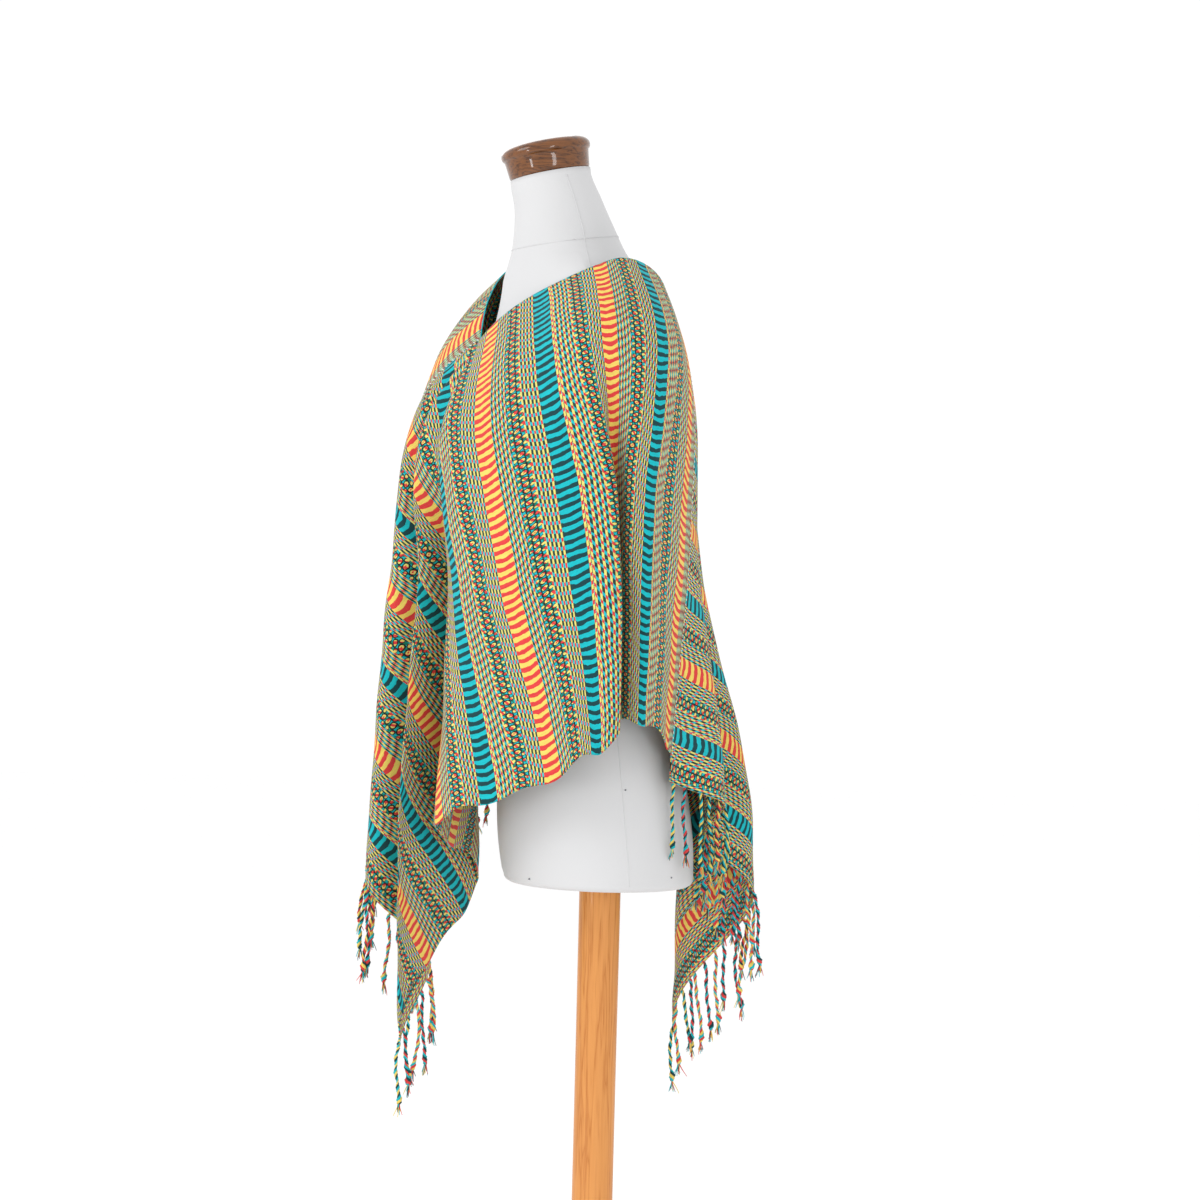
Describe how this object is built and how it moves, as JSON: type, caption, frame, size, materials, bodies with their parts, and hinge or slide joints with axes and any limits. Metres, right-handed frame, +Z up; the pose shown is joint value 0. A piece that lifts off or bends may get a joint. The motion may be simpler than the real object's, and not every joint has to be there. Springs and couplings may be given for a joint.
{
  "type": "poncho on a limbless dress form",
  "caption": "Hand-woven striped poncho of two seamed rectangles with points at front and back and twisted fringe, worn by a limbless dress form on a pole stand",
  "frame": {"origin": "centre of the stand's underside, on the floor", "axes": "+Z up, the wearer faces -Y, the wearer's left is +X"},
  "size_m": [0.4109, 0.4336, 1.5141],
  "materials": {
    "weave": "loose rayon weave with teal and orange bands, soft sheen",
    "yarn": "twisted yarn cords in four colours",
    "form_cover": "smooth off-white cloth stretched over the form",
    "dark_wood": "glossy dark-brown varnish",
    "pale_wood": "light honey satin varnish"
  },
  "bodies": {
    "root": {"panel_left": "weave", "panel_right": "weave", "fringe_front": "yarn", "fringe_back": "yarn", "torso_form": "form_cover", "neck_cap": "dark_wood", "stand_pole": "pale_wood", "stand_base": "pale_wood"}
  },
  "joints": []
}
